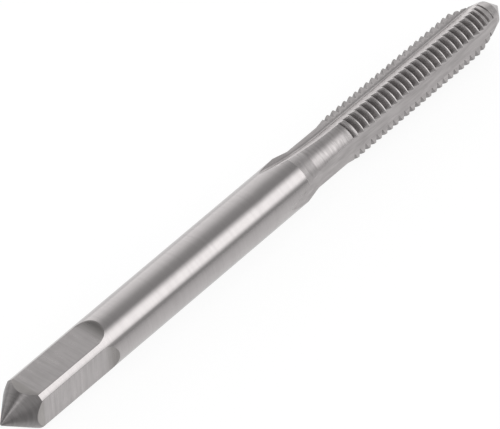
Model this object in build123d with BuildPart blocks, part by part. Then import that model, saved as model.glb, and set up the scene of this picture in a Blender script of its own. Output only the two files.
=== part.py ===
from build123d import *
import os
from math import acos, atan, ceil, cos, degrees, pi, radians, sin, tan

# Hand tap for a 3 mm right-hand metric thread, with straight flutes. All sizes in millimetres.
# The tap lies along X on its shank, square end at -X and point at +X, on a surface at Z = 0.
# Angles round the centre line are counted from +Y towards +Z.

# Shank, driving square and rear centre
shank_diameter = 3.15
shank_length = 22.5             # from the base of the rear centre to the taper
square_across_flats = 2.5
square_length = 5.1             # full flats, from the base of the rear centre
square_cutter_radius = 1.55     # the flats rise out of the shank along this radius
flat_count = 4
rear_centre_half_angle = 36.5
centre_tip_radius = 0.1         # both centres end in this small round

# Neck behind the thread
shank_taper_length = 1.15
neck_diameter = 2.7
neck_length = 2.7

# Thread: 60 degree form with a flat crest and a flat root
thread_diameter = 3.0
thread_length = 12.05           # from the neck to the lead
thread_pitch = 0.5
thread_depth = 0.32
thread_angle = 60.0
crest_flat = 0.0625
entry_bevel_length = 0.9        # the body rises out of the neck along this bevel
fade_turns = 2.8                # the groove deepens over these turns until it is full

# Lead and point
lead_half_angle = 18.3
lead_small_diameter = 1.6
point_half_angle = 36.0

# Flutes
flute_count = 3
first_land_angle = 122.8        # middle of the first land
land_arc = 48.0                 # from the cutting edge round to the heel
web_diameter = 1.8              # the backs of the flutes touch this circle
flute_corner_radius = 0.2
flute_wheel_radius = 14.0       # the flutes leave the neck and shank along this radius
flute_lift_angle = 65.0         # direction the wheel leaves in, from the cutting face

# Sizes that follow
shank_radius = shank_diameter / 2
neck_radius = neck_diameter / 2
thread_radius = thread_diameter / 2
lead_small_radius = lead_small_diameter / 2
web_radius = web_diameter / 2
land_pitch = 360 / flute_count
beyond = 2 * shank_diameter     # how far the cutters reach past the metal


def centre_round(half_angle):
    """Place of the round on a centre, from its sharp point: nose, touching point and radius there."""
    slope = sin(radians(half_angle))
    nose = centre_tip_radius * (1 / slope - 1)
    touch = centre_tip_radius * (1 / slope - slope)
    return nose, touch, centre_tip_radius * cos(radians(half_angle))


rear_nose, rear_touch, rear_touch_radius = centre_round(rear_centre_half_angle)
point_nose, point_touch, point_touch_radius = centre_round(point_half_angle)

# Places along the centre line, from the sharp point of the rear centre
shank_start = shank_radius / tan(radians(rear_centre_half_angle))
flats_end = shank_start + square_length
taper_start = shank_start + shank_length
neck_start = taper_start + shank_taper_length
thread_start = neck_start + neck_length
lead_start = thread_start + thread_length
point_start = lead_start + (thread_radius - lead_small_radius) / tan(radians(lead_half_angle))
sharp_point = point_start + lead_small_radius / tan(radians(point_half_angle))

# The middle of the tap's length is over the origin
overall_length = sharp_point - point_nose - rear_nose
rear_point = Vector(-overall_length / 2 - rear_nose, 0, shank_radius)
centre_line = Axis(rear_point, (1, 0, 0))


def outward(angle):
    """Unit vector that points straight out from the centre line, at an angle round it."""
    return Vector(0, cos(radians(angle)), sin(radians(angle)))


def side_plane(angle):
    """Plane through the centre line: x runs towards the point, y points out at the angle."""
    return Plane(rear_point, x_dir=(1, 0, 0), z_dir=Vector(1, 0, 0).cross(outward(angle)))


def cross_plane(distance, angle):
    """Plane across the tap at a distance from the rear point, with x pointing out at the angle."""
    return Plane(rear_point + Vector(distance, 0, 0), x_dir=outward(angle), z_dir=(1, 0, 0))


# Flute cutter. The cutting face is radial, and the back runs straight from the corner of the
# flute to the heel of the next land. Past the thread the cutter follows the wheel outwards.
cutting_edge_angle = first_land_angle + land_arc / 2
back_tilt = land_pitch - land_arc - degrees(acos(web_radius / thread_radius))
flute_plane = cross_plane(thread_start, cutting_edge_angle)
flute_corner = Vector(web_radius / cos(radians(back_tilt)), 0)
face_reach = Vector(beyond, 0)
back_reach = face_reach.rotate(Axis.Z, 90 + back_tilt)

with BuildSketch(flute_plane) as flute_section:
    with BuildLine():
        Polyline(
            flute_corner,
            flute_corner + face_reach,
            flute_corner + face_reach + back_reach,
            flute_corner + back_reach,
            close=True,
        )
    make_face()
    corner_vertex = flute_section.vertices().sort_by_distance(flute_plane.origin)[0]
    fillet(corner_vertex, flute_corner_radius)

lift_direction = outward(cutting_edge_angle + flute_lift_angle)
wheel_centre = flute_plane.from_local_coords(flute_corner) + lift_direction * flute_wheel_radius
wheel_axis = Axis(wheel_centre, lift_direction.cross(Vector(1, 0, 0)))
wheel_turn = degrees(acos(1 - shank_diameter / flute_wheel_radius))

with BuildPart() as flute_cutter:
    extrude(flute_section.sketch, amount=sharp_point - thread_start + beyond)
    revolve(flute_section.sketch, axis=wheel_axis, revolution_arc=wheel_turn)

# Groove cutter for one land: a piece of a ring that is later tilted to the lead of the thread.
# Over a land as narrow as these, such a ring keeps to the helix within two thousandths of a
# millimetre. Its ends lie in the open flutes on both sides of the land.
flank_slope = tan(radians(thread_angle / 2))
lead_angle = degrees(atan(thread_pitch / (pi * thread_diameter)))
root_radius = thread_radius - thread_depth
half_root = (thread_pitch - crest_flat) / 2 - thread_depth * flank_slope
flank_height = thread_depth + 0.4 * crest_flat / flank_slope
half_mouth = half_root + flank_height * flank_slope
groove_arc = 0.75 * land_pitch

with BuildPart() as groove_cutter:
    with BuildSketch(Plane.XZ):
        with BuildLine():
            Polyline(
                (root_radius, -half_root),
                (root_radius, half_root),
                (root_radius + flank_height, half_mouth),
                (root_radius + flank_height, -half_mouth),
                close=True,
            )
        make_face()
    revolve(axis=Axis.Z, revolution_arc=groove_arc)

with BuildPart() as tap:
    # Turned blank with a centre at both ends
    with BuildSketch(side_plane(90)):
        with BuildLine():
            Polyline(
                (rear_touch, rear_touch_radius),
                (shank_start, shank_radius),
                (taper_start, shank_radius),
                (neck_start, neck_radius),
                (thread_start, neck_radius),
                (thread_start + entry_bevel_length, thread_radius),
                (lead_start, thread_radius),
                (point_start, lead_small_radius),
                (sharp_point - point_touch, point_touch_radius),
            )
            RadiusArc((rear_nose, 0), (rear_touch, rear_touch_radius), centre_tip_radius)
            RadiusArc(
                (sharp_point - point_touch, point_touch_radius),
                (sharp_point - point_nose, 0),
                centre_tip_radius,
            )
            Line((sharp_point - point_nose, 0), (rear_nose, 0))
        make_face()
    revolve(axis=centre_line)

    # Driving square
    for flat in range(flat_count):
        with BuildSketch(side_plane(90 + flat * 360 / flat_count)):
            with BuildLine():
                flat_line = Line(
                    (-beyond, square_across_flats / 2), (flats_end, square_across_flats / 2)
                )
                run_out = JernArc(flat_line @ 1, (1, 0), square_cutter_radius, 90)
                Polyline(run_out @ 1, (-beyond, (run_out @ 1).Y), flat_line @ 0)
            make_face()
        extrude(amount=shank_diameter, both=True, mode=Mode.SUBTRACT)

    # Flutes
    add(
        [flute_cutter.part.rotate(centre_line, flute * land_pitch) for flute in range(flute_count)],
        mode=Mode.SUBTRACT,
    )

    # Thread, cut land after land along its helix until the lead has run below its root
    groove_end = lead_start + thread_depth / tan(radians(lead_half_angle)) + thread_pitch
    land_step = thread_pitch / flute_count
    land_places = []
    for land in range(1, ceil((groove_end - thread_start) / land_step)):
        full_share = sin(radians(90 * min(1, land / (fade_turns * flute_count))))
        land_plane = cross_plane(
            thread_start + land * land_step, first_land_angle + land * land_pitch
        )
        lifted = Location((thread_depth * (1 - full_share), 0, 0), (lead_angle, 0, 0))
        land_places.append(land_plane.location * lifted)
    with Locations(land_places):
        add(groove_cutter.part.rotate(Axis.Z, -groove_arc / 2), mode=Mode.SUBTRACT)

tap.part.label = "tap"
os.makedirs("parts", exist_ok=True)
export_step(tap.part, "parts/tap.step")
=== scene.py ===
"""Looks of the thread tap: its ground and threaded steel, the floor, the light tent and the camera."""
import math

import bpy
import numpy as np
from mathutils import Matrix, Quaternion, Vector


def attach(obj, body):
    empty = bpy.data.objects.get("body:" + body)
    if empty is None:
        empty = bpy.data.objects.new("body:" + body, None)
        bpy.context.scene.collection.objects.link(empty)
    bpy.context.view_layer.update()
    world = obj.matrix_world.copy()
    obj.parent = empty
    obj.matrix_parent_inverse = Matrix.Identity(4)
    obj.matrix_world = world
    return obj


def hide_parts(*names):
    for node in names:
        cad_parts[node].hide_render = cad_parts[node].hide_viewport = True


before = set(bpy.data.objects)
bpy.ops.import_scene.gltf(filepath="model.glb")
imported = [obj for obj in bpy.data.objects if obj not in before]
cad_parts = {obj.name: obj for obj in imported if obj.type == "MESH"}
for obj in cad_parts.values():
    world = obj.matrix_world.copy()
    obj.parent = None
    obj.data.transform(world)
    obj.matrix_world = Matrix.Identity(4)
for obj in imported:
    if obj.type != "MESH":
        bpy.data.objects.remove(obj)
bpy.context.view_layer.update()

# ---- Sizes of the tap, in millimetres, and angles in radians or, for the lands, in degrees ----
METRE = 1000
SHANK_RADIUS = 1.575
SHANK_LENGTH = 22.5              # from the base of the rear centre to the taper
FLAT_DISTANCE = 1.25             # from the centre line to a driving flat
SQUARE_LENGTH = 5.1              # full flats, from the base of the rear centre
SQUARE_CUTTER_RADIUS = 1.55      # the flats rise out of the shank along this radius
REAR_HALF_ANGLE = math.radians(36.5)
TIP_RADIUS = 0.1                 # both centres end in this small round
TAPER_LENGTH = 1.15
NECK_RADIUS = 1.35
NECK_LENGTH = 2.7
THREAD_RADIUS = 1.5
THREAD_LENGTH = 12.05            # from the neck to the lead
PITCH = 0.5
THREAD_DEPTH = 0.32
FLANK = math.tan(math.radians(30.0))
BEVEL_LENGTH = 0.9               # the body rises out of the neck along this bevel
LEAD_HALF_ANGLE = math.radians(18.3)
LEAD_SMALL_RADIUS = 0.8
POINT_HALF_ANGLE = math.radians(36.0)
FLUTES = 3
FIRST_LAND = 122.8               # middle of the first land
LAND_ARC = 48.0                  # from the cutting edge round to the heel
LAND_PITCH = 360.0 / FLUTES
WEB_RADIUS = 0.9                 # the backs of the flutes touch this circle
FLUTE_CORNER_RADIUS = 0.2
LIFT_ANGLE = math.radians(65.0)  # direction the wheel leaves in, from the cutting face

# Forms that differ a little from the drawn ones
CREST_FLAT = 0.085
FADE_TURNS = 2.1                 # the groove deepens over these turns until it is full
WHEEL_RADIUS = 18.0              # the flutes leave the neck and shank along this radius
WORN_HALF_ANGLE = math.radians(43.0)    # of the point, which has worn shorter and blunter

# Places along the centre line, from the sharp point of the rear centre
rear_nose = TIP_RADIUS * (1 / math.sin(REAR_HALF_ANGLE) - 1)
point_nose = TIP_RADIUS * (1 / math.sin(POINT_HALF_ANGLE) - 1)
shank_start = SHANK_RADIUS / math.tan(REAR_HALF_ANGLE)
flats_end = shank_start + SQUARE_LENGTH
taper_start = shank_start + SHANK_LENGTH
neck_start = taper_start + TAPER_LENGTH
thread_start = neck_start + NECK_LENGTH
bevel_end = thread_start + BEVEL_LENGTH
lead_start = thread_start + THREAD_LENGTH
point_start = lead_start + (THREAD_RADIUS - LEAD_SMALL_RADIUS) / math.tan(LEAD_HALF_ANGLE)
sharp_point = point_start + LEAD_SMALL_RADIUS / math.tan(POINT_HALF_ANGLE)
worn_point = point_start + LEAD_SMALL_RADIUS / math.tan(WORN_HALF_ANGLE)
overall_length = sharp_point - point_nose - rear_nose
rear_x = -overall_length / 2 - rear_nose

# Outline of the body: places along the centre line and the radii there
BODY_D = np.array([0.0, shank_start, taper_start, neck_start, thread_start, bevel_end,
                   lead_start, point_start, worn_point])
BODY_R = np.array([0.0, SHANK_RADIUS, SHANK_RADIUS, NECK_RADIUS, NECK_RADIUS, THREAD_RADIUS,
                   THREAD_RADIUS, LEAD_SMALL_RADIUS, 0.0])

# ---- Layout of the mesh: rings along the tap, each with the same columns ----
# A third of a ring runs over a land from heel to cutting edge, then down the cutting face, round
# the corner of the flute and up its back. In the names below, d is a place along the centre line,
# r a radius, v the place of a ring and u a length along a flute's section.
LAND_COLUMNS = 20
FACE_COLUMNS = 3
CORNER_COLUMNS = 4
BACK_COLUMNS = 5
FLUTE_COLUMNS = FACE_COLUMNS + CORNER_COLUMNS + BACK_COLUMNS
SECTOR_COLUMNS = LAND_COLUMNS + FLUTE_COLUMNS
COLUMNS = FLUTES * SECTOR_COLUMNS
EVEN_STEP = 360.0 / COLUMNS
EDGE_ROUND = 0.014               # edges are eased over this width
EVEN_SHARES = (0.25, 0.5, 0.75, 1.0)


def body_radius(d):
    """Radius of the turned body, without grooves and flutes."""
    return np.interp(d, BODY_D, BODY_R)


def soft_min(a, b, k):
    """The smaller of two radii, with a round passage of height k between them."""
    h = np.maximum(k - np.abs(a - b), 0.0) / k
    return np.minimum(a, b) - h * h * k / 4


# ---- Grooves of the thread ----
root_radius = THREAD_RADIUS - THREAD_DEPTH
half_root = (PITCH - CREST_FLAT) / 2 - THREAD_DEPTH * FLANK
LEAD_DROP = 0.5                  # on the lead the grooves follow its taper by this share
LAST_GROOVE_BACK = 0.35          # grooves end this far behind where the lead is as thin as the web
NO_GROOVE = 9.0                  # a radius outside everything
CREST_BLEND = 0.02               # crests pass into flanks over this height
LEAST_FLANK = 0.004              # a flank shorter than this along the tap has no rows of its own
FIRST_FLANK = 0.1                # the search for a flank's edge starts from this length,
EDGE_SEARCH_STEPS = 30           # and comes nearer in so many steps


def thread_grooves():
    """Place along the centre line, land, and lift of the floor above the root, for each groove."""
    land_step = PITCH / FLUTES
    last = lead_start + (THREAD_RADIUS - WEB_RADIUS) / math.tan(LEAD_HALF_ANGLE) - LAST_GROOVE_BACK
    found = []
    for step in range(1, int((last - thread_start) / land_step) + 1):
        place = thread_start + step * land_step
        full_share = math.sin(math.radians(90 * min(1.0, step / (FADE_TURNS * FLUTES))))
        lead_depth = THREAD_RADIUS - float(body_radius(place)) if place > lead_start else 0.0
        found.append((place, step % FLUTES, THREAD_DEPTH * (1 - full_share) - LEAD_DROP * lead_depth))
    return found


grooves = thread_grooves()


def groove_radius(v, land):
    """Radius of the nearest groove's floor or flank in row v, and far outside without one."""
    r = NO_GROOVE
    for place, of_land, lift in grooves:
        if of_land == land:
            r = min(r, root_radius + lift + max(abs(v - place) - half_root, 0) / FLANK)
    return r


def crest_edge(place, side, lift):
    """Distance from the middle of a groove to the edge of the crest on one side of it."""
    edge = half_root + FIRST_FLANK
    for _ in range(EDGE_SEARCH_STEPS):
        edge = half_root + FLANK * (body_radius(place + side * edge) - root_radius - lift)
    return edge


# ---- Flutes. Their section has x along the cutting face and y towards the next land ----
back_tilt = math.radians(LAND_PITCH - LAND_ARC) - math.acos(WEB_RADIUS / THREAD_RADIUS)
corner_distance = WEB_RADIUS / math.cos(back_tilt)
wedge = math.pi / 2 + back_tilt
tangent_length = FLUTE_CORNER_RADIUS / math.tan(wedge / 2)
half_arc = FLUTE_CORNER_RADIUS * (math.pi - wedge) / 2
back_direction = np.array([math.cos(wedge), math.sin(wedge)])
CURVE_REACH = 3.2                # the section is followed this far on both sides of its corner
STRAIGHT_POINTS = 500
CORNER_POINTS = 200
CURVE_U = np.concatenate([np.linspace(-CURVE_REACH, -half_arc, STRAIGHT_POINTS)[:-1],
                          np.linspace(-half_arc, half_arc, CORNER_POINTS),
                          np.linspace(half_arc, CURVE_REACH, STRAIGHT_POINTS)[1:]])
LEAST_CUT = 1e-6                 # a flute cuts a circle when it goes deeper than this
NOSE_REACH = 4.0                 # the noses of the flutes lie within this length behind the taper
HALVINGS = 50


def flute_curve(u, lift):
    """Points of the flute's floor at curve length u from the middle of its corner."""
    corner = np.array([corner_distance + lift * math.cos(LIFT_ANGLE), lift * math.sin(LIFT_ANGLE)])
    u = np.asarray(u, float)
    x = np.empty(u.shape)
    y = np.empty(u.shape)
    face = u < -half_arc
    back = u > half_arc
    arc = ~(face | back)
    x[face] = corner[0] + tangent_length - half_arc - u[face]
    y[face] = corner[1]
    along = tangent_length + u[back] - half_arc
    x[back] = corner[0] + along * back_direction[0]
    y[back] = corner[1] + along * back_direction[1]
    turn = -math.pi / 2 - (u[arc] + half_arc) / FLUTE_CORNER_RADIUS
    x[arc] = corner[0] + tangent_length + FLUTE_CORNER_RADIUS * np.cos(turn)
    y[arc] = corner[1] + FLUTE_CORNER_RADIUS * (1 + np.sin(turn))
    return x, y


def wheel_lift(d):
    """How far the wheel has lifted the flute's section at a place behind the thread."""
    reach = np.clip(thread_start - d, 0, WHEEL_RADIUS)
    return WHEEL_RADIUS - np.sqrt(WHEEL_RADIUS ** 2 - reach ** 2)


class FluteSection:
    """Where a flute, lifted by the wheel, cuts circles round the centre line."""

    def __init__(self, lift):
        self.lift = lift
        x, y = flute_curve(CURVE_U, lift)
        r = np.hypot(x, y)
        k = int(np.argmin(r))
        self.least = float(r[k])
        self.middle_angle = math.degrees(math.atan2(y[k], x[k]))
        self.face_r, self.face_u = r[:k + 1][::-1], CURVE_U[:k + 1][::-1]
        self.back_r, self.back_u = r[k:], CURVE_U[k:]

    def cuts(self, r):
        """Whether the flute reaches into a circle."""
        return r > self.least + LEAST_CUT

    def ends(self, r_face, r_back):
        """Curve lengths at which the cutting face and the back meet two circles."""
        return (float(np.interp(r_face, self.face_r, self.face_u)),
                float(np.interp(r_back, self.back_r, self.back_u)))

    def angle(self, u):
        """Angle round the centre line at a curve length, in degrees from the cutting face."""
        x, y = flute_curve(np.array([u]), self.lift)
        return math.degrees(math.atan2(y[0], x[0]))


def nose_distance():
    """Place where the flutes leave the shank."""
    low, high = taper_start - NOSE_REACH, taper_start
    for _ in range(HALVINGS):
        mid = (low + high) / 2
        if FluteSection(wheel_lift(mid)).least < SHANK_RADIUS:
            high = mid
        else:
            low = mid
    return high


flute_nose = nose_distance()
full_flute = FluteSection(0.0)
breakout = lead_start + (THREAD_RADIUS - full_flute.least) / math.tan(LEAD_HALF_ANGLE)

# ---- Rings of the flutes' length ----
RUN_OUT_ROWS = 22                # from the nose of the flutes to the thread
THREAD_ROWS = 60                 # besides those at the edges of the grooves
LEAD_ROWS = 14
LEAST_ROW_STEP = 0.0045
HELIX_START = 0.4                # behind the thread the rows turn to its helix over this length
HELIX_END = 0.5                  # and on the lead square to the centre line again over this one,
HELIX_END_BACK = 0.2             # which ends this far behind the front centre
FAN_LENGTH = 1.6                 # behind a nose the flute's columns spread again over this length
FRONT_FAN_LENGTH = 0.3           # and past the end of the flute's floor over this one
FAN_RINGS = 7
EDGE_STEPS = 4                   # rounds in which the edges of a land are found on its helix


def flute_rows():
    """Places of the rings from the nose of the flutes to the front centre."""
    run_out = thread_start - flute_nose
    marks = [flute_nose + run_out * f ** 2 for f in np.linspace(0, 1, RUN_OUT_ROWS)]
    for corner in (taper_start, neck_start, thread_start):
        marks += [corner - EDGE_ROUND, corner, corner + EDGE_ROUND]
    for place, _, lift in grooves:
        for side in (-1, 1):
            edge = crest_edge(place, side, lift)
            if edge < half_root + LEAST_FLANK:
                continue
            marks += [place + side * half_root, place + side * (edge - EDGE_ROUND), place + side * edge]
            if edge + EDGE_ROUND < PITCH / 2:
                marks.append(place + side * (edge + EDGE_ROUND))
    marks += list(np.linspace(thread_start, lead_start, THREAD_ROWS))
    marks += [breakout - (breakout - lead_start) * f ** 2 for f in np.linspace(0, 1, LEAD_ROWS)]
    marks = sorted(m for m in marks if flute_nose < m <= breakout)
    rows = [marks[0]]
    for mark in marks[1:]:
        if mark - rows[-1] > LEAST_ROW_STEP:
            rows.append(mark)
    rows[-1] = breakout
    past = [breakout + (point_start - EDGE_ROUND - breakout) * f for f in EVEN_SHARES]
    return [flute_nose] + rows + past + [point_start, point_start + EDGE_ROUND]


def helix_share(v):
    """1 where rows follow the helix of the thread, 0 where they lie square to the centre line."""
    rise = np.clip((v - (thread_start - HELIX_START)) / HELIX_START, 0, 1)
    fall = np.clip((point_start - HELIX_END_BACK - v) / HELIX_END, 0, 1)
    t = rise * fall
    return t * t * (3 - 2 * t)


def fan_half(v):
    """Half the angle that a closed flute's columns spread over, away from its nose."""
    away = (flute_nose - v) / FAN_LENGTH if v < taper_start else (v - breakout) / FRONT_FAN_LENGTH
    return FLUTE_COLUMNS * EVEN_STEP / 2 * min(1.0, max(0.0, away))


def land_surface(v, land, middle, share):
    """Function that gives the place and radius of row v at an angle on one land."""
    groove = groove_radius(v, land)

    def surface(angle):
        d = v + share * PITCH * (angle - middle) / 360.0
        return d, float(soft_min(body_radius(d), groove, CREST_BLEND))

    return surface


def land_edges(section, surface, middle):
    """Angles of a land's heel and cutting edge, and the radii there."""
    heel, cut = middle - LAND_ARC / 2, middle + LAND_ARC / 2
    for _ in range(EDGE_STEPS):
        r_heel, r_cut = surface(heel)[1], surface(cut)[1]
        if section.cuts(r_heel):
            heel = middle - LAND_PITCH + LAND_ARC / 2 + section.angle(section.ends(r_heel, r_heel)[1])
        if section.cuts(r_cut):
            cut = middle + LAND_ARC / 2 + section.angle(section.ends(r_cut, r_cut)[0])
    return heel, cut, r_heel, r_cut


def flute_floor(section, r_cut, r_heel, face_angle):
    """Radii and angles of the columns between a cutting edge and the next land's heel."""
    u_cut, u_heel = section.ends(r_cut, r_heel)
    u_1 = min(max(-half_arc, u_cut), u_heel)
    u_2 = min(max(half_arc, u_cut), u_heel)
    u = np.concatenate([np.linspace(u_cut, u_1, FACE_COLUMNS + 1),
                        np.linspace(u_1, u_2, CORNER_COLUMNS + 1)[1:],
                        np.linspace(u_2, u_heel, BACK_COLUMNS + 1)[1:]])[1:-1]
    x, y = flute_curve(u, section.lift)
    return np.hypot(x, y), face_angle + np.degrees(np.arctan2(y, x))


def row_ring(v):
    """Places along the tap, radii and angles of the columns of one ring of the flutes' length."""
    section = FluteSection(wheel_lift(v)) if v < thread_start else full_flute
    share = helix_share(v)
    middles = [FIRST_LAND + land * LAND_PITCH for land in range(FLUTES)]
    surfaces = [land_surface(v, land, middle, share) for land, middle in enumerate(middles)]
    edges = [land_edges(section, surface, middle) for surface, middle in zip(surfaces, middles)]
    heels, cuts, heel_radii, cut_radii = (list(values) for values in zip(*edges))
    is_open = [section.cuts(cut_radii[n]) and section.cuts(heel_radii[(n + 1) % FLUTES])
               for n in range(FLUTES)]
    for n, middle in enumerate(middles):
        if not is_open[n - 1]:
            heels[n] = middle - LAND_PITCH + LAND_ARC / 2 + section.middle_angle + fan_half(v)
        if not is_open[n]:
            cuts[n] = middle + LAND_ARC / 2 + section.middle_angle - fan_half(v)
    steps = np.arange(1, FLUTE_COLUMNS)
    ring = []
    for n, middle in enumerate(middles):
        land_angles = np.linspace(heels[n], cuts[n], LAND_COLUMNS + 1)
        ring += [(*surfaces[n](angle), angle) for angle in land_angles]
        following = (n + 1) % FLUTES
        if is_open[n]:
            d_cut, d_heel = ring[-1][0], surfaces[following](heels[following])[0]
            r, angles = flute_floor(section, cut_radii[n], heel_radii[following], middle + LAND_ARC / 2)
            ring += zip(d_cut + (d_heel - d_cut) * steps / FLUTE_COLUMNS, r, angles)
        else:
            gap = heels[following] + (360.0 if following == 0 else 0.0) - cuts[n]
            r = float(body_radius(v))
            ring += [(v, r, cuts[n] + gap * step / FLUTE_COLUMNS) for step in steps]
    return tuple(np.array(values) for values in zip(*ring))


def flute_rings():
    """Rings from behind the nose of the flutes to the front centre."""
    fan = [flute_nose - FAN_LENGTH * back ** 1.5 for back in np.linspace(1, 0, FAN_RINGS)[:-1]]
    return [row_ring(v) for v in fan + flute_rows()]


def plain_ring(d, r, angles):
    """Ring with one place and one radius all round."""
    return np.full(COLUMNS, d), np.full(COLUMNS, r), angles


def front_centre_rings(angles):
    """Rings over the cone and the round of the front centre."""
    cone_start = point_start + EDGE_ROUND
    touch = worn_point - TIP_RADIUS * (1 / math.sin(WORN_HALF_ANGLE) - math.sin(WORN_HALF_ANGLE))
    places = [cone_start + (touch - cone_start) * f for f in EVEN_SHARES]
    cone = [plain_ring(d, (worn_point - d) * math.tan(WORN_HALF_ANGLE), angles) for d in places]
    middle = worn_point - TIP_RADIUS / math.sin(WORN_HALF_ANGLE)
    turns = [(math.pi / 2 - WORN_HALF_ANGLE) * (1 - f) for f in EVEN_SHARES]
    return cone + [plain_ring(middle + TIP_RADIUS * math.cos(a), TIP_RADIUS * math.sin(a), angles)
                   for a in turns]


threaded_rings = flute_rings()
threaded_rings += front_centre_rings(threaded_rings[-1][2])

# ---- Rings of the square end: columns of the four flats and the four strips of shank between ----
FLATS = 4
half_flat = math.degrees(math.acos(FLAT_DISTANCE / SHANK_RADIUS))
EDGE_EASE = 0.7                  # degrees from a flat's long edge to the columns beside it
FLAT_STEPS = 18                  # from column to column over a flat
STRIP_STEPS = COLUMNS // FLATS - FLAT_STEPS
ROUND_SHARES = (0.0, 0.25, 0.5, 0.75)
CONE_SHARES = (0.0, 0.12, 0.25, 0.4, 0.55, 0.7, 0.85)
RIM_ROUND = 0.002                # the rim of the rear centre is blunted by this much
FLAT_SHARES = (0.0, 0.08, 0.2, 0.35, 0.5, 0.65, 0.8, 0.92, 1.0)
RUN_OUT_RINGS = 10
PLAIN_LENGTH = 1.8               # this far past the flats the rings are square to the centre line
PLAIN_SHARES = (0.015, 0.2, 0.5, 1.0)
TURNING_RINGS = 12               # with both ends, where the columns turn to the flutes' spacing


def square_columns():
    """Angles of the columns, and on the flats their offsets from the middle of the flat."""
    flat = np.concatenate([[-half_flat],
                           np.linspace(-half_flat + EDGE_EASE, half_flat - EDGE_EASE, FLAT_STEPS - 1)])
    strip = np.concatenate([[half_flat], np.linspace(half_flat + EDGE_EASE, 90 - half_flat - EDGE_EASE,
                                                     STRIP_STEPS - 1)])
    local = np.concatenate([flat, strip])
    angles = np.concatenate([local + 90 * quarter for quarter in range(FLATS)])
    offsets = np.tile(np.where(local <= half_flat, local, np.nan), FLATS)
    return angles, offsets


square_angles, flat_offsets = square_columns()
on_flat = ~np.isnan(flat_offsets)
plain_start = flats_end + PLAIN_LENGTH


def square_end_rings():
    """Places and radii of the rings from the tip of the rear centre to the plain shank."""
    flat_cos = np.cos(np.radians(np.where(on_flat, flat_offsets, 0)))
    edge_r = np.where(on_flat, FLAT_DISTANCE / flat_cos, SHANK_RADIUS)
    cone_slope = math.tan(REAR_HALF_ANGLE)
    edge_d = edge_r / cone_slope
    found = []
    round_middle = TIP_RADIUS / math.sin(REAR_HALF_ANGLE)
    for f in ROUND_SHARES:
        a = (math.pi / 2 - REAR_HALF_ANGLE) * f
        found.append((np.full(COLUMNS, round_middle - TIP_RADIUS * math.cos(a)),
                      np.full(COLUMNS, TIP_RADIUS * math.sin(a))))
    touch_r = TIP_RADIUS * math.cos(REAR_HALF_ANGLE)
    for f in CONE_SHARES:
        r = touch_r + (edge_r - touch_r) * f
        found.append((r / cone_slope, r))
    before = edge_r - EDGE_ROUND * math.sin(REAR_HALF_ANGLE)
    found.append((before / cone_slope, before))
    found.append((edge_d + RIM_ROUND, edge_r - RIM_ROUND))
    for f in FLAT_SHARES:
        found.append((edge_d + EDGE_ROUND + (flats_end - edge_d - EDGE_ROUND) * f, edge_r))
    depth = SHANK_RADIUS * flat_cos - FLAT_DISTANCE
    reach = np.sqrt(np.maximum(SQUARE_CUTTER_RADIUS ** 2 - (SQUARE_CUTTER_RADIUS - depth) ** 2, 0))
    out_d = flats_end + np.where(on_flat, reach, 0)
    for f in np.linspace(0, 1, RUN_OUT_RINGS)[1:]:
        away = (out_d - flats_end) * f
        rise = SQUARE_CUTTER_RADIUS - np.sqrt(SQUARE_CUTTER_RADIUS ** 2 - away ** 2)
        flat_r = np.minimum((FLAT_DISTANCE + rise) / flat_cos, SHANK_RADIUS)
        found.append((flats_end + away, np.where(on_flat, flat_r, SHANK_RADIUS)))
    for f in PLAIN_SHARES:
        found.append((out_d + (plain_start - out_d) * f, np.full(COLUMNS, SHANK_RADIUS)))
    return found


def turn_to(angles, others):
    """Turns from some angles to others, the short way round."""
    return (others - angles + 180) % 360 - 180


def best_shift(angles):
    """How many columns the square end's are moved on by to lie nearest to the given angles."""
    return min(range(COLUMNS), key=lambda shift: float(
        np.abs(turn_to(angles, np.roll(square_angles, -shift))).max()))


first_angles = threaded_rings[0][2]
shift = best_shift(first_angles)
shifted_angles = np.roll(square_angles, -shift)
shifted_on_flat = np.roll(on_flat, -shift)
square_rings = [(np.roll(d, -shift), np.roll(r, -shift), shifted_angles)
                for d, r in square_end_rings()]


def turning_rings():
    """Rings of the plain shank, whose columns turn from the square end's angles to the flutes'."""
    target = shifted_angles + turn_to(shifted_angles, first_angles)
    length = threaded_rings[0][0][0] - plain_start
    found = []
    for f in np.linspace(0, 1, TURNING_RINGS)[1:-1]:
        ease = f * f * (3 - 2 * f)
        angles = shifted_angles + (target - shifted_angles) * ease
        found.append(plain_ring(plain_start + length * f, SHANK_RADIUS, angles))
    return found


shank_rings = turning_rings()
all_rings = square_rings + shank_rings + threaded_rings
first_threaded = len(square_rings) + len(shank_rings)

# ---- Which finish each face has, by its place in the list of materials ----
GROUND, MILLED, REAR_CONE_PAINTED_SHADE, NECK, THREAD, FLUTE, FLUTE_BACK_PAINTED_REFLECTION, CREST, FRONT_CONE = range(9)
PAINTED_REFLECTION_FLUTE = 2                 # the back of this flute has a much lighter tone: a painted reflection
FRONT_CONE_START = 0.25          # the front cone's finish starts this far along the lead
CONE_MARGIN = 0.006
FLAT_MARGIN = 0.002
GROOVE_MARGIN = 0.006            # a face this far inside the body belongs to a groove
ROW_MARGIN = 0.02


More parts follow.
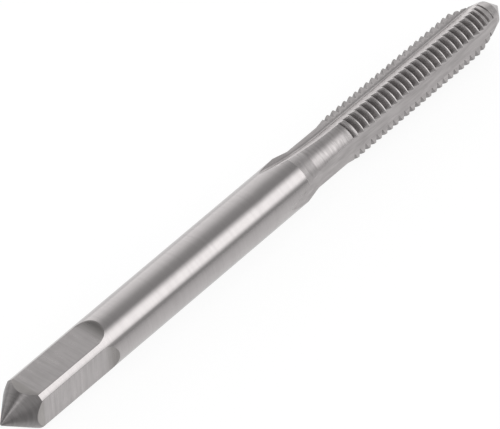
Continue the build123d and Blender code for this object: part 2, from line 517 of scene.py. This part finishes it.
def finish_of_faces(d, r, i, j, k):
    """One finish for each face between rings i and i + 1 and columns j and k."""
    corners = ((i, j), (i + 1, j), (i + 1, k), (i, k))
    d_mid = sum(d[p, q] for p, q in corners) / 4
    r_mid = sum(r[p, q] for p, q in corners) / 4
    finish = np.full(len(i), GROUND)
    in_square = i < len(square_rings) - 1
    on_cone = in_square & (d_mid < r_mid / math.tan(REAR_HALF_ANGLE) + CONE_MARGIN)
    low = np.maximum.reduce([r[p, q] for p, q in corners]) < SHANK_RADIUS - FLAT_MARGIN
    flat_column = shifted_on_flat[j] & (shifted_on_flat[k] | low)
    behind_plain = i < len(square_rings) - len(PLAIN_SHARES) - 1
    finish[behind_plain & flat_column & ~on_cone] = MILLED
    # the cone of the rear centre takes a darker tone: painted shade
    finish[on_cone] = REAR_CONE_PAINTED_SHADE
    finish[(d_mid > taper_start) & (d_mid < bevel_end)] = NECK
    finish[d_mid > bevel_end] = CREST
    finish[d_mid > lead_start + FRONT_CONE_START] = FRONT_CONE
    land_column = (j % SECTOR_COLUMNS) < LAND_COLUMNS
    # faces inside the grooves take the darker thread tone: painted shade
    finish[(d_mid > thread_start) & land_column & (r_mid < body_radius(d_mid) - GROOVE_MARGIN)] = THREAD
    open_ring = np.zeros(len(all_rings), bool)
    open_ring[first_threaded:] = [flute_nose < ring[0].min() + ROW_MARGIN
                                  and ring[0].max() < breakout + ROW_MARGIN for ring in threaded_rings]
    in_flute = (i >= first_threaded) & ~land_column & open_ring[i] & open_ring[i + 1]
    finish[in_flute] = FLUTE
    back_column = j % SECTOR_COLUMNS >= SECTOR_COLUMNS - BACK_COLUMNS
    # painted reflection: the back of one flute takes the lighter tone
    finish[in_flute & back_column & (j // SECTOR_COLUMNS == PAINTED_REFLECTION_FLUTE)] = FLUTE_BACK_PAINTED_REFLECTION
    return finish


# ---- The mesh ----
WELD_PARTS = 1e7                 # points in the same one of this many parts of a metre become one
SHARP_ANGLE = math.radians(38)


def tap_mesh():
    """One closed mesh over all rings, with the finish of every face."""
    d, r, angles = (np.array(values) for values in zip(*all_rings))
    a = np.radians(angles)
    places = np.stack([rear_x + d, r * np.cos(a), SHANK_RADIUS + r * np.sin(a)], axis=-1)
    places = places.reshape(-1, 3) / METRE
    gaps = len(all_rings) - 1
    i = np.repeat(np.arange(gaps), COLUMNS)
    j = np.tile(np.arange(COLUMNS), gaps)
    k = (j + 1) % COLUMNS
    finish = finish_of_faces(d, r, i, j, k)
    corners = ((i, j), (i + 1, j), (i + 1, k), (i, k))
    quads = np.column_stack([row * COLUMNS + column for row, column in corners])
    keys = np.round(places * WELD_PARTS).astype(np.int64)
    _, first, index = np.unique(keys, axis=0, return_index=True, return_inverse=True)
    faces, face_finish = [], []
    for quad, kind in zip(index.reshape(-1)[quads].tolist(), finish.tolist()):
        face = list(dict.fromkeys(quad))
        if len(face) > 2:
            faces.append(face)
            face_finish.append(kind)
    mesh = bpy.data.meshes.new("tap_body")
    mesh.from_pydata(places[first].tolist(), [], faces)
    mesh.polygons.foreach_set("material_index", face_finish)
    mesh.shade_smooth()
    mesh.set_sharp_from_angle(angle=SHARP_ANGLE)
    return mesh


# ---- Steel ----
class Nodes:
    """Short ways to build a material's nodes."""

    def __init__(self, tree):
        self.tree = tree
        tree.nodes.clear()

    def add(self, kind, **values):
        node = self.tree.nodes.new(kind)
        for name, value in values.items():
            setattr(node, name, value)
        return node

    def link(self, a, b):
        self.tree.links.new(a, b)

    def object_place(self):
        """Places in metres, in the object's own frame."""
        return self.add("ShaderNodeTexCoord").outputs["Object"]

    def split(self, vector):
        node = self.add("ShaderNodeSeparateXYZ")
        self.link(vector, node.inputs[0])
        return node.outputs

    def noise(self, place, scale, detail, rough, turn=0.0):
        """Noise of the given scale in periods per metre along x, y and z."""
        mapping = self.add("ShaderNodeMapping")
        mapping.inputs["Scale"].default_value = scale
        mapping.inputs["Rotation"].default_value = (0.0, turn, turn)
        noise = self.add("ShaderNodeTexNoise", noise_dimensions="3D")
        noise.inputs["Scale"].default_value = 1.0
        noise.inputs["Detail"].default_value = detail
        noise.inputs["Roughness"].default_value = rough
        self.link(place, mapping.inputs["Vector"])
        self.link(mapping.outputs["Vector"], noise.inputs["Vector"])
        return noise.outputs["Fac"]

    def fit(self, value, low, high, to_low, to_high, **values):
        """The value's range from low to high, brought to another range."""
        node = self.add("ShaderNodeMapRange", **values)
        numbers = {"From Min": low, "From Max": high, "To Min": to_low, "To Max": to_high}
        for name, number in numbers.items():
            node.inputs[name].default_value = number
        self.link(value, node.inputs["Value"])
        return node.outputs["Result"]

    def soft_step(self, value, start, end):
        """0 before the start and 1 after the end, softly, whichever of the two is the larger."""
        low, high = min(start, end), max(start, end)
        to_low, to_high = (0.0, 1.0) if start < end else (1.0, 0.0)
        return self.fit(value, low, high, to_low, to_high, interpolation_type="SMOOTHSTEP")

    def math(self, operation, a, b):
        """Result of an operation on two values, each a float or another node's output."""
        node = self.add("ShaderNodeMath", operation=operation)
        for socket, value in zip(node.inputs, (a, b)):
            if isinstance(value, float):
                socket.default_value = value
            else:
                self.link(value, socket)
        return node.outputs[0]

    def output(self, shader, kind="ShaderNodeOutputMaterial"):
        self.link(shader.outputs[0], self.add(kind).inputs["Surface"])


def new_material(name):
    """A material without nodes yet, and the builder of its nodes."""
    material = bpy.data.materials.new(name)
    material.use_nodes = True
    return material, Nodes(material.node_tree)


STEEL_TINT = (1.022, 0.972, 0.968)
# tint of the painted shade that darkens the tone in places
PAINTED_SHADE_TINT = (1.0, 1.0, 0.98)
EDGE_TINT = (0.95, 0.95, 0.95, 1.0)
NOISE_RANGE = (0.3, 0.7)         # nearly all of a noise's values lie between these
CLOUD_SCALE = (420.0, 900.0, 900.0)
FINE_SHARE, COARSE_SHARE, CLOUD_SHARE = 0.35, 0.40, 0.25
FINE_RELIEF = 0.5                # of the fine streaks, against the coarse ones


def tint(level, colour=STEEL_TINT):
    return tuple(level * channel for channel in colour) + (1.0,)


def steel(name, tones, roughness, fine, coarse, bump, turn=0.0, painted_shades=()):
    """Steel with fine and coarse streaks and faint clouds, in tone, gloss and relief.

    Scales are periods per metre, and the relief is in metres. Each painted shade is (start, end,
    factor):
    along x, between two places in millimetres from the rear point, the tone changes by the factor;
    this darkening is painted shade in place of darker reflections there.
    """
    material, n = new_material(name)
    place = n.object_place()
    fine_streak = n.noise(place, fine, detail=3.0, rough=0.6, turn=turn)
    coarse_streak = n.noise(place, coarse, detail=2.0, rough=0.55, turn=turn)
    cloud = n.noise(place, CLOUD_SCALE, detail=3.0, rough=0.6)
    value = n.math("ADD", n.fit(fine_streak, *NOISE_RANGE, 0.0, FINE_SHARE),
                   n.fit(coarse_streak, *NOISE_RANGE, 0.0, COARSE_SHARE))
    value = n.math("ADD", value, n.fit(cloud, *NOISE_RANGE, 0.0, CLOUD_SHARE))
    mix = n.add("ShaderNodeMix", data_type="RGBA")
    n.link(value, mix.inputs["Factor"])
    mix.inputs["A"].default_value = tint(tones[0])
    mix.inputs["B"].default_value = tint(tones[1])
    along = n.split(place)["X"]
    # painted shade: along x the tone is darkened by each factor
    for start, end, factor in painted_shades:
        shaded = n.add("ShaderNodeMix", data_type="RGBA", blend_type="MULTIPLY")
        reach = n.soft_step(along, (rear_x + start) / METRE, (rear_x + end) / METRE)
        n.link(reach, shaded.inputs["Factor"])
        n.link(mix.outputs["Result"], shaded.inputs["A"])
        shaded.inputs["B"].default_value = tint(factor, PAINTED_SHADE_TINT)
        mix = shaded
    shader = n.add("ShaderNodeBsdfPrincipled")
    shader.inputs["Metallic"].default_value = 1.0
    shader.inputs["Specular Tint"].default_value = EDGE_TINT
    n.link(mix.outputs["Result"], shader.inputs["Base Color"])
    n.link(n.fit(value, 0.0, 1.0, roughness[1], roughness[0]), shader.inputs["Roughness"])
    relief = n.add("ShaderNodeBump")
    relief.inputs["Strength"].default_value = 1.0
    relief.inputs["Distance"].default_value = bump
    height = n.math("ADD", n.math("MULTIPLY", fine_streak, FINE_RELIEF), coarse_streak)
    n.link(height, relief.inputs["Height"])
    n.link(relief.outputs["Normal"], shader.inputs["Normal"])
    n.output(shader)
    return material


RUN_OUT_PAINTED_SHADE = (flats_end - 0.05, flats_end + 0.8, 0.66)    # painted shade: darker where the flats rise out of the shank
REAR_PAINTED_SHADE = (2.32, 2.20, 0.84)                              # painted shade: darker where they end on the rear centre
FINISHES = (
    {"name": "steel_ground", "tones": (0.40, 0.46), "roughness": (0.14, 0.20),
     "fine": (22000, 700, 700), "coarse": (4000, 300, 300), "bump": 0.8e-7},
    {"name": "steel_milled", "tones": (0.34, 0.47), "roughness": (0.24, 0.36),
     "fine": (14000, 900, 900), "coarse": (3600, 300, 300), "bump": 9.0e-7,
     "turn": 0.14, "painted_shades": (RUN_OUT_PAINTED_SHADE, REAR_PAINTED_SHADE)},
    # rear centre: its darker tone is painted shade, in place of the darker reflections there
    {"name": "steel_rear_cone_painted_shade", "tones": (0.19, 0.30), "roughness": (0.26, 0.36),
     "fine": (20000, 1500, 1500), "coarse": (6000, 900, 900), "bump": 8.0e-7},
    {"name": "steel_neck", "tones": (0.31, 0.54), "roughness": (0.27, 0.40),
     "fine": (15000, 1400, 1400), "coarse": (6000, 1100, 1100), "bump": 5.5e-6},
    # inside the grooves: the darker tone is painted shade
    {"name": "steel_thread_painted_shade", "tones": (0.22, 0.41), "roughness": (0.36, 0.50),
     "fine": (9000, 3200, 3200), "coarse": (5200, 2600, 2600), "bump": 2.4e-6},
    {"name": "steel_flute", "tones": (0.31, 0.51), "roughness": (0.28, 0.42),
     "fine": (900, 14000, 14000), "coarse": (700, 4200, 4200), "bump": 9.0e-7},
    # back of one flute: its much lighter tone is a painted reflection
    {"name": "steel_flute_back_painted_reflection", "tones": (0.62, 0.78), "roughness": (0.42, 0.52),
     "fine": (900, 14000, 14000), "coarse": (700, 4200, 4200), "bump": 6.0e-7},
    {"name": "steel_crest", "tones": (0.43, 0.57), "roughness": (0.24, 0.34),
     "fine": (26000, 900, 900), "coarse": (5000, 1800, 1800), "bump": 6.0e-7},
    {"name": "steel_front_cone", "tones": (0.36, 0.48), "roughness": (0.24, 0.34),
     "fine": (20000, 1500, 1500), "coarse": (6000, 1200, 1200), "bump": 1.0e-6},
)


def add_tap():
    mesh = tap_mesh()
    for finish in FINISHES:
        mesh.materials.append(steel(**finish))
    tap = bpy.data.objects.new("tap_body", mesh)
    bpy.context.scene.collection.objects.link(tap)
    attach(tap, "root")
    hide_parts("tap")


# ---- Floor, light tent and background ----
def path_share(n):
    """1 for the rays that show the white background, 0 for the light that falls on things."""
    path = n.add("ShaderNodeLightPath")
    value = path.outputs["Is Camera Ray"]
    for name in ("Is Glossy Ray", "Is Transmission Ray"):
        value = n.math("MAXIMUM", value, path.outputs[name])
    return value


FLOOR_SIZE = 1.5                 # half of its side, in metres
FLOOR_DROP = 1e-5                # the floor lies this far under the tap
FLOOR_COLOUR = (0.8, 0.8, 0.8, 1)       # for the light that it throws back on things
FLOOR_LIT = (0.14, 0.14, 0.14, 1)       # for the camera and the metal, besides its glow
FLOOR_GLOW = 0.9                        # for the camera
# The glow that the metal shows, with painted shade in it. On the -Y side it falls off away from
# the tap: between two distances, as powers of ten of a metre, from one level to another.
FLOOR_PAINTED_FALL_OFF = (-2.6, -1.2, 0.93, 0.50)
FLOOR_NEAREST = 0.0002           # added to the distances, as nothing has no power of ten
# Painted shadow: under the tap it is dimmer, between two distances to the side, from one level to
# another
FLOOR_PAINTED_SHADOW = (0.0003, 0.0022, 0.80, 1.0)
# Painted shade: behind the base of the rear centre, and to its sides, it is dimmer too
FLOOR_PAINTED_SHADE_BEHIND = (-0.0196, -0.0206)
FLOOR_PAINTED_SHADE_SIDE = (0.0010, 0.0026)
FLOOR_PAINTED_SHADE_LEVEL = 0.5


def floor_level(n):
    """Level of the floor's glow: plain for the camera, and uneven where the metal shows it, with
    painted shade and a painted shadow.
    """
    x, y, _ = n.split(n.object_place())
    away = n.math("MAXIMUM", n.math("MULTIPLY", y, -1.0), 0.0)
    away = n.math("LOGARITHM", n.math("ADD", away, FLOOR_NEAREST), 10.0)
    beside = n.math("ABSOLUTE", y, 0.0)
    # painted shade far off on -Y, and a painted shadow under the tap
    glow_with_painted_shade = n.math("MULTIPLY", n.fit(away, *FLOOR_PAINTED_FALL_OFF), n.fit(beside, *FLOOR_PAINTED_SHADOW))
    # painted shade behind the base of the rear centre
    behind = n.math("MULTIPLY", n.soft_step(x, *FLOOR_PAINTED_SHADE_BEHIND), n.soft_step(beside, *FLOOR_PAINTED_SHADE_SIDE))
    glow_with_painted_shade = n.math("MULTIPLY", glow_with_painted_shade, n.fit(behind, 0.0, 1.0, 1.0, FLOOR_PAINTED_SHADE_LEVEL))
    level = n.add("ShaderNodeMix", data_type="FLOAT")
    n.link(n.add("ShaderNodeLightPath").outputs["Is Camera Ray"], level.inputs["Factor"])
    n.link(glow_with_painted_shade, level.inputs["A"])
    level.inputs["B"].default_value = FLOOR_GLOW
    return level.outputs["Result"]


def diffuse(n, colour):
    shader = n.add("ShaderNodeBsdfDiffuse")
    shader.inputs["Color"].default_value = colour
    return shader.outputs[0]


def add_floor():
    mesh = bpy.data.meshes.new("floor")
    corners = [(-1, -1), (1, -1), (1, 1), (-1, 1)]
    points = [(x * FLOOR_SIZE, y * FLOOR_SIZE, -FLOOR_DROP) for x, y in corners]
    mesh.from_pydata(points, [], [(0, 1, 2, 3)])
    material, n = new_material("floor")
    glow = n.add("ShaderNodeEmission")
    n.link(floor_level(n), glow.inputs["Strength"])
    white = n.add("ShaderNodeAddShader")
    n.link(diffuse(n, FLOOR_LIT), white.inputs[0])
    n.link(glow.outputs[0], white.inputs[1])
    both = n.add("ShaderNodeMixShader")
    n.link(path_share(n), both.inputs[0])
    n.link(diffuse(n, FLOOR_COLOUR), both.inputs[1])
    n.link(white.outputs[0], both.inputs[2])
    n.output(both)
    mesh.materials.append(material)
    floor = bpy.data.objects.new("floor", mesh)
    bpy.context.scene.collection.objects.link(floor)


# The tent is a half cylinder over the tap. Its angles run from +Y over the top to -Y, in degrees,
# and places along it are in metres.
TENT_RADIUS = 1.0
TENT_BACK, TENT_FRONT = -2.0, 3.5
TENT_STEPS = 60
TENT_GAP = 1.0                   # degrees left open above the floor on both sides
TENT_LEVELS = ((0, 1.36), (12, 1.34), (24, 1.26), (36, 1.15), (47, 0.96), (57, 0.78), (66, 0.60),
               (76, 0.50), (88, 0.44), (100, 0.42), (162, 0.42), (172, 0.46), (180, 0.55))
RAMP_SCALE = 2.0                 # the ramp's colours hold the levels divided by this
# Patches that are added to it: level, the angles over which they rise and fall, and the places
# over which they rise and fall along the tent
TENT_PATCHES = (
    {"level": 1.56, "rise": (98.0, 129.0), "fall": (147.0, 170.0),      # band of the shank
     "along_rise": (0.05, 0.40), "along_fall": (0.85, 2.0)},
    {"level": 1.6, "rise": (68.0, 80.0), "fall": (82.0, 96.0),          # streak of the rear centre
     "along_fall": (-0.6, -0.2)},
    {"level": 0.30, "rise": (84.0, 104.0), "fall": (150.0, 176.0),      # lighter end behind the tap
     "along_fall": (-0.6, -0.2)},
    {"level": -0.55, "rise": (0.0, 6.0), "fall": (56.0, 74.0),          # dark side of the rear centre
     "along_fall": (-0.3, -0.05)},
)


def tent_mesh():
    mesh = bpy.data.meshes.new("tent")
    points, faces = [], []
    for x in (TENT_BACK, TENT_FRONT):
        for k in range(TENT_STEPS + 1):
            a = math.radians(TENT_GAP + (180.0 - 2 * TENT_GAP) * k / TENT_STEPS)
            points.append((x, TENT_RADIUS * math.cos(a), TENT_RADIUS * math.sin(a)))
    for k in range(TENT_STEPS):
        faces.append((k, k + 1, TENT_STEPS + 2 + k, TENT_STEPS + 1 + k))
    mesh.from_pydata(points, [], faces)
    mesh.shade_smooth()
    return mesh


def tent_ramp(n, degrees):
    """Level of the tent round the tap."""
    ramp = n.add("ShaderNodeValToRGB")
    stops = ramp.color_ramp.elements
    while len(stops) > 1:
        stops.remove(stops[-1])
    for k, (at, level) in enumerate(TENT_LEVELS):
        stop = stops[0] if k == 0 else stops.new(at / 180)
        stop.position = at / 180
        stop.color = (level / RAMP_SCALE,) * 3 + (1,)
    n.link(n.fit(degrees, 0.0, 180.0, 0.0, 1.0), ramp.inputs[0])
    return n.math("MULTIPLY", ramp.outputs[0], RAMP_SCALE)


def tent_patch(n, degrees, along, level, rise, fall, along_rise=None, along_fall=None):
    """A lit or dark patch of the tent with soft sides."""
    value = n.math("MULTIPLY", n.soft_step(degrees, *rise), n.soft_step(degrees, *fall[::-1]))
    if along_rise:
        value = n.math("MULTIPLY", value, n.soft_step(along, *along_rise))
    if along_fall:
        value = n.math("MULTIPLY", value, n.soft_step(along, *along_fall[::-1]))
    return n.math("MULTIPLY", value, level)


def add_tent():
    mesh = tent_mesh()
    material, n = new_material("tent")
    x, y, z = n.split(n.object_place())
    degrees = n.fit(n.math("ARCTAN2", z, y), 0.0, math.pi, 0.0, 180.0)
    lit = tent_ramp(n, degrees)
    for patch in TENT_PATCHES:
        lit = n.math("ADD", lit, tent_patch(n, degrees, x, **patch))
    glow = n.add("ShaderNodeEmission")
    n.link(lit, glow.inputs["Strength"])
    n.output(glow)
    mesh.materials.append(material)
    tent = bpy.data.objects.new("tent", mesh)
    bpy.context.scene.collection.objects.link(tent)
    tent.visible_camera = False


WORLD_LEVEL = (0.8, 0.8, 0.8, 1)
WHITE = (1, 1, 1, 1)


def add_world():
    world = bpy.data.worlds.new("world")
    bpy.context.scene.world = world
    world.use_nodes = True
    n = Nodes(world.node_tree)
    level = n.add("ShaderNodeMix", data_type="RGBA")
    n.link(path_share(n), level.inputs["Factor"])
    level.inputs["A"].default_value = WORLD_LEVEL
    level.inputs["B"].default_value = WHITE
    glow = n.add("ShaderNodeBackground")
    n.link(level.outputs["Result"], glow.inputs["Color"])
    n.output(glow, "ShaderNodeOutputWorld")


# ---- Camera ----
CAMERA_AZIMUTH = math.radians(-49.0)
CAMERA_ELEVATION = math.radians(43.3)
CAMERA_DISTANCE = 0.368
CAMERA_ROLL = math.radians(-1.9)
CAMERA_AIM = Vector((-0.00071, 0.0, 0.001575))
SENSOR_WIDTH = 36.0
FOCAL_LENGTH = 475.3
CLIP_START, CLIP_END = 0.01, 10.0


def add_camera():
    data = bpy.data.cameras.new("camera")
    data.sensor_width = SENSOR_WIDTH
    data.lens = FOCAL_LENGTH
    data.clip_start = CLIP_START
    data.clip_end = CLIP_END
    camera = bpy.data.objects.new("camera", data)
    bpy.context.scene.collection.objects.link(camera)
    flat = Vector((-math.sin(CAMERA_AZIMUTH), math.cos(CAMERA_AZIMUTH), 0))
    look = flat * math.cos(CAMERA_ELEVATION) - Vector((0, 0, math.sin(CAMERA_ELEVATION)))
    camera.location = CAMERA_AIM - look * CAMERA_DISTANCE
    turn = look.to_track_quat("-Z", "Y") @ Quaternion((0, 0, 1), CAMERA_ROLL)
    camera.rotation_euler = turn.to_euler()
    bpy.context.scene.camera = camera


add_tap()
add_floor()
add_tent()
add_world()
add_camera()

bpy.context.scene.view_settings.view_transform = "Standard"
